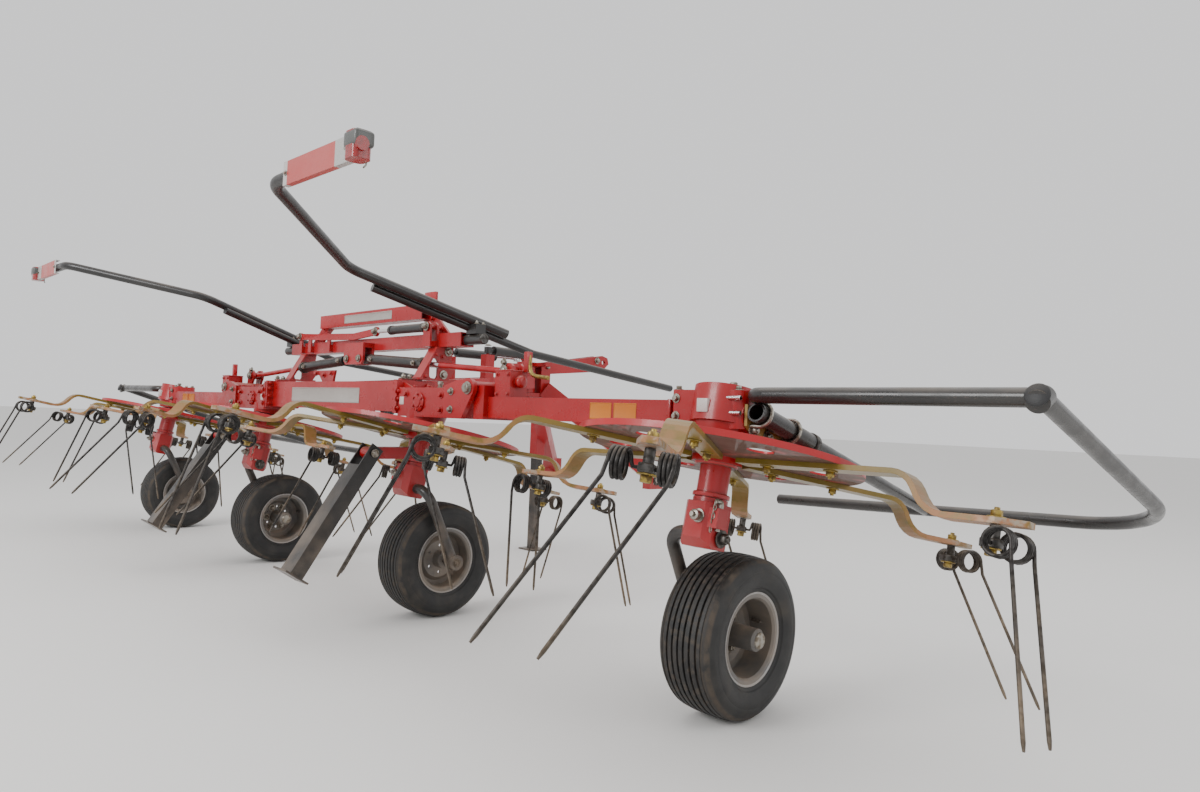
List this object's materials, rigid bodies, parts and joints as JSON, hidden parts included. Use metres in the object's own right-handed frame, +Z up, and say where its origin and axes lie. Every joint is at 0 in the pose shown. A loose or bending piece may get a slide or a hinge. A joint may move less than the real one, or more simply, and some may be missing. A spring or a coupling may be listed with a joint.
{
  "type": "mounted rotary hay tedder",
  "caption": "Rotary hay tedder on small wheels, with tined rotors on folding wings, a three-point headstock and warning boards.",
  "frame": {"origin": "on the ground, at the bottom centre of the machine's box", "axes": "+X to the machine's right, +Y the way it travels, +Z up"},
  "size_m": [5.5412, 2.528, 1.337],
  "materials": {
    "red_paint": "gloss",
    "black_paint": "satin",
    "arm_paint": "satin",
    "tine_steel": "satin",
    "tyre_rubber": "matte",
    "rim_steel": "satin",
    "rod_steel": "polished",
    "board_sheet": "satin",
    "lamp_lens": "gloss",
    "shaft_guard": "satin"
  },
  "bodies": {
    "frame": {"main_beam": "red_paint", "inner_posts": "red_paint", "portal": "red_paint", "drawbar": "red_paint", "centre_gearbox": "red_paint", "drive_shaft": "shaft_guard", "board_bars": "black_paint", "boards": "board_sheet", "lamps": "lamp_lens", "upright_left": "red_paint", "upright_right": "red_paint"},
    "wing_left": {"wing_beam_left": "red_paint", "outer_post_left": "red_paint", "guard_left": "black_paint"},
    "wing_right": {"wing_beam_right": "red_paint", "outer_post_right": "red_paint", "guard_right": "black_paint"},
    "rotor_left_outer": {"dish_left_outer": "red_paint", "arms_left_outer": "arm_paint", "tines_left_outer": "tine_steel"},
    "leg_left_outer": {"leg_left_outer": "red_paint"},
    "wheel_left_outer": {"tyre_left_outer": "tyre_rubber", "rim_left_outer": "rim_steel"},
    "rotor_left_inner": {"dish_left_inner": "red_paint", "arms_left_inner": "arm_paint", "tines_left_inner": "tine_steel"},
    "leg_left_inner": {"leg_left_inner": "red_paint"},
    "wheel_left_inner": {"tyre_left_inner": "tyre_rubber", "rim_left_inner": "rim_steel"},
    "rotor_right_inner": {"dish_right_inner": "red_paint", "arms_right_inner": "arm_paint", "tines_right_inner": "tine_steel"},
    "leg_right_inner": {"leg_right_inner": "red_paint"},
    "wheel_right_inner": {"tyre_right_inner": "tyre_rubber", "rim_right_inner": "rim_steel"},
    "rotor_right_outer": {"dish_right_outer": "red_paint", "arms_right_outer": "arm_paint", "tines_right_outer": "tine_steel"},
    "leg_right_outer": {"leg_right_outer": "red_paint"},
    "wheel_right_outer": {"tyre_right_outer": "tyre_rubber", "rim_right_outer": "rim_steel"},
    "cylinder_left": {"barrel_left": "black_paint"},
    "piston_left": {"rod_left": "rod_steel"},
    "cylinder_right": {"barrel_right": "black_paint"},
    "piston_right": {"rod_right": "rod_steel"},
    "headstock": {"headstock": "red_paint"},
    "damper_left": {"damper_body_left": "black_paint"},
    "damper_piston_left": {"damper_rod_left": "rod_steel"},
    "damper_right": {"damper_body_right": "black_paint"},
    "damper_piston_right": {"damper_rod_right": "rod_steel"},
    "front_stand": {"front_stand": "black_paint"},
    "rear_stand_left": {"rear_stand_left": "black_paint"},
    "rear_stand_right": {"rear_stand_right": "black_paint"}
  },
  "joints": [
    {"name": "wing_fold_left", "type": "hinge", "parent": "frame", "child": "wing_left", "pos_m": [-0.995, -0.346, 0.812], "axis": [0, 1, 0], "range_deg": [-3, 100]},
    {"name": "wing_fold_right", "type": "hinge", "parent": "frame", "child": "wing_right", "pos_m": [0.995, -0.346, 0.812], "axis": [0, -1, 0], "range_deg": [-3, 100]},
    {"name": "rotor_spin_left_outer", "type": "hinge", "parent": "wing_left", "child": "rotor_left_outer", "pos_m": [-1.95, -0.346, 0.755], "axis": [0, 0.2079, 0.9781], "continuous": true},
    {"name": "wheel_steer_left_outer", "type": "hinge", "parent": "wing_left", "child": "leg_left_outer", "pos_m": [-1.95, -0.346, 0.755], "axis": [0, 0.2079, 0.9781], "range_deg": [-12, 12]},
    {"name": "wheel_spin_left_outer", "type": "hinge", "parent": "leg_left_outer", "child": "wheel_left_outer", "pos_m": [-1.95, -0.286, 0.2025], "axis": [-1, 0, 0], "continuous": true},
    {"name": "rotor_spin_left_inner", "type": "hinge", "parent": "frame", "child": "rotor_left_inner", "pos_m": [-0.65, -0.346, 0.755], "axis": [0, 0.2079, 0.9781], "continuous": true},
    {"name": "wheel_steer_left_inner", "type": "hinge", "parent": "frame", "child": "leg_left_inner", "pos_m": [-0.65, -0.346, 0.755], "axis": [0, 0.2079, 0.9781], "range_deg": [-12, 12]},
    {"name": "wheel_spin_left_inner", "type": "hinge", "parent": "leg_left_inner", "child": "wheel_left_inner", "pos_m": [-0.65, -0.286, 0.2025], "axis": [-1, 0, 0], "continuous": true},
    {"name": "rotor_spin_right_inner", "type": "hinge", "parent": "frame", "child": "rotor_right_inner", "pos_m": [0.65, -0.346, 0.755], "axis": [0, 0.2079, 0.9781], "continuous": true},
    {"name": "wheel_steer_right_inner", "type": "hinge", "parent": "frame", "child": "leg_right_inner", "pos_m": [0.65, -0.346, 0.755], "axis": [0, 0.2079, 0.9781], "range_deg": [-12, 12]},
    {"name": "wheel_spin_right_inner", "type": "hinge", "parent": "leg_right_inner", "child": "wheel_right_inner", "pos_m": [0.65, -0.286, 0.2025], "axis": [-1, 0, 0], "continuous": true},
    {"name": "rotor_spin_right_outer", "type": "hinge", "parent": "wing_right", "child": "rotor_right_outer", "pos_m": [1.95, -0.346, 0.755], "axis": [0, 0.2079, 0.9781], "continuous": true},
    {"name": "wheel_steer_right_outer", "type": "hinge", "parent": "wing_right", "child": "leg_right_outer", "pos_m": [1.95, -0.346, 0.755], "axis": [0, 0.2079, 0.9781], "range_deg": [-12, 12]},
    {"name": "wheel_spin_right_outer", "type": "hinge", "parent": "leg_right_outer", "child": "wheel_right_outer", "pos_m": [1.95, -0.286, 0.2025], "axis": [-1, 0, 0], "continuous": true},
    {"name": "cylinder_turn_left", "type": "hinge", "parent": "frame", "child": "cylinder_left", "pos_m": [-0.05, -0.272, 0.94], "axis": [0, 1, 0], "range_deg": [-3.67, 0.12]},
    {"name": "cylinder_stroke_left", "type": "slide", "parent": "cylinder_left", "child": "piston_left", "axis": [-0.9978, 0, -0.0658], "range_m": [-0.08714, 0.00271]},
    {"name": "cylinder_turn_right", "type": "hinge", "parent": "frame", "child": "cylinder_right", "pos_m": [0.05, -0.272, 0.94], "axis": [0, -1, 0], "range_deg": [-3.67, 0.12]},
    {"name": "cylinder_stroke_right", "type": "slide", "parent": "cylinder_right", "child": "piston_right", "axis": [0.9978, 0, -0.0658], "range_m": [-0.08714, 0.00271]},
    {"name": "headstock_swing", "type": "hinge", "parent": "frame", "child": "headstock", "pos_m": [0, 0.654, 0.85], "axis": [0, 0, 1], "range_deg": [-15, 15]},
    {"name": "damper_turn_left", "type": "hinge", "parent": "frame", "child": "damper_left", "pos_m": [-0.15, 0.294, 1.025], "axis": [0, 0, 1], "range_deg": [-0.71, 0.71]},
    {"name": "damper_stroke_left", "type": "slide", "parent": "damper_left", "child": "damper_piston_left", "axis": [0.0894, 0.996, 0], "range_m": [-0.03049, 0.03049]},
    {"name": "damper_turn_right", "type": "hinge", "parent": "frame", "child": "damper_right", "pos_m": [0.15, 0.294, 1.025], "axis": [0, 0, 1], "range_deg": [-0.71, 0.71]},
    {"name": "damper_stroke_right", "type": "slide", "parent": "damper_right", "child": "damper_piston_right", "axis": [-0.0894, 0.996, 0], "range_m": [-0.03049, 0.03049]},
    {"name": "front_stand_lift", "type": "slide", "parent": "headstock", "child": "front_stand", "axis": [0, 0, 1], "range_m": [0, 0.35]},
    {"name": "rear_stand_turn_left", "type": "hinge", "parent": "frame", "child": "rear_stand_left", "pos_m": [-0.65, -0.576, 0.582], "axis": [1, 0, 0], "range_deg": [0, 33]},
    {"name": "rear_stand_turn_right", "type": "hinge", "parent": "frame", "child": "rear_stand_right", "pos_m": [0.65, -0.576, 0.582], "axis": [1, 0, 0], "range_deg": [0, 33]}
  ],
  "couplings": [
    {"joint": "rotor_spin_left_inner", "follows": "rotor_spin_left_outer", "ratio": -1},
    {"joint": "rotor_spin_right_inner", "follows": "rotor_spin_left_outer", "ratio": 1},
    {"joint": "rotor_spin_right_outer", "follows": "rotor_spin_left_outer", "ratio": -1},
    {"joint": "cylinder_turn_left", "follows": "wing_fold_left", "ratio": -0.036578},
    {"joint": "cylinder_stroke_left", "follows": "wing_fold_left", "m_per_rad": -0.049871},
    {"joint": "cylinder_turn_right", "follows": "wing_fold_right", "ratio": -0.036578},
    {"joint": "cylinder_stroke_right", "follows": "wing_fold_right", "m_per_rad": -0.049871},
    {"joint": "damper_turn_left", "follows": "headstock_swing", "ratio": 0.046818},
    {"joint": "damper_stroke_left", "follows": "headstock_swing", "m_per_rad": -0.11607},
    {"joint": "damper_turn_right", "follows": "headstock_swing", "ratio": 0.046818},
    {"joint": "damper_stroke_right", "follows": "headstock_swing", "m_per_rad": 0.11607}
  ]
}
